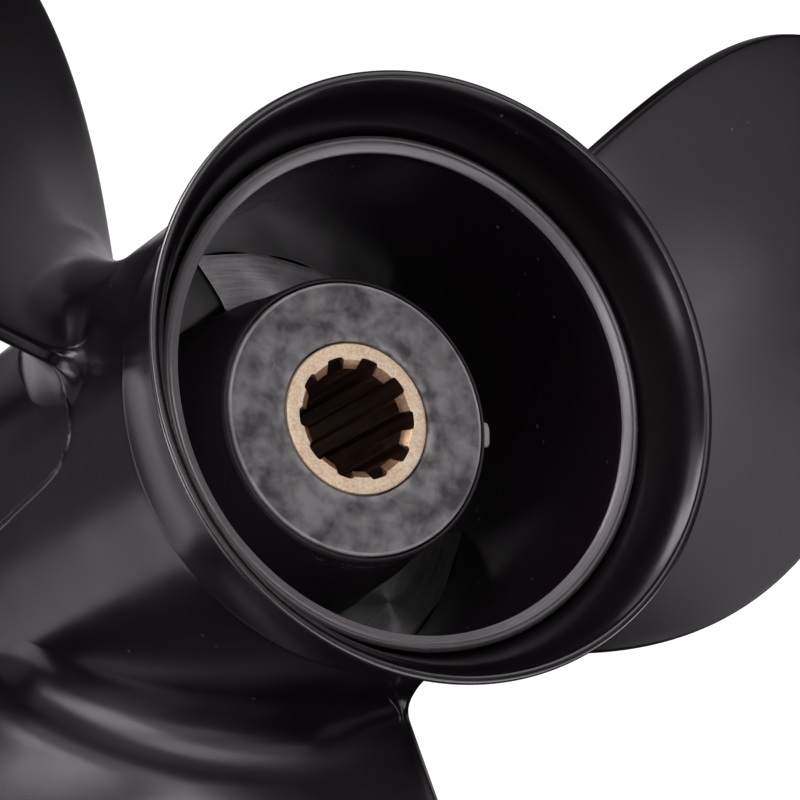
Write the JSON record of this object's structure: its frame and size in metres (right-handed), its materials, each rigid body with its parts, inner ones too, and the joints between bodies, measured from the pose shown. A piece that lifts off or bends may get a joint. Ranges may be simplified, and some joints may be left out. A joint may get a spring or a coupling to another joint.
{
  "type": "boat propeller",
  "caption": "Outboard boat propeller with broad raked blades on a through-hub exhaust barrel, a flared aft ring, and a splined bronze sleeve in a rubber bush.",
  "frame": {"origin": "on the shaft axis, at the plane of the forward face of the barrel, on which the propeller stands", "axes": "+Z along the shaft axis, pointing aft to the flared lip; +X and +Y square to it, with the first blade's reference line 141 degrees from +X"},
  "size_m": [0.2632, 0.2474, 0.127],
  "materials": {
    "black_paint": "satin black paint over cast aluminium",
    "black_ring": "satin black paint over a turned aluminium ring",
    "machined_web": "thin black paint over a turned cast face with tool marks",
    "bush_rubber": "moulded black-grey rubber with flow marks",
    "sleeve_bronze": "sintered bronze, broached"
  },
  "bodies": {
    "propeller": {"hub_barrel": "black_paint", "diffuser_ring": "black_ring", "web_1": "machined_web", "web_2": "machined_web", "web_3": "machined_web", "inner_hub": "black_paint", "blade_1": "black_paint", "blade_2": "black_paint", "blade_3": "black_paint"},
    "bush": {"rubber_bush": "bush_rubber"},
    "sleeve": {"splined_sleeve": "sleeve_bronze"}
  },
  "joints": [
    {"name": "bush_slip", "type": "hinge", "parent": "propeller", "child": "bush", "pos_m": [0, 0, 0.061], "axis": [0, 0, 1], "continuous": true},
    {"name": "sleeve_wind_up", "type": "hinge", "parent": "bush", "child": "sleeve", "pos_m": [0, 0, 0.0555], "axis": [0, 0, 1], "range_deg": [-8, 8], "stiffness_Nm_per_rad": 150}
  ]
}
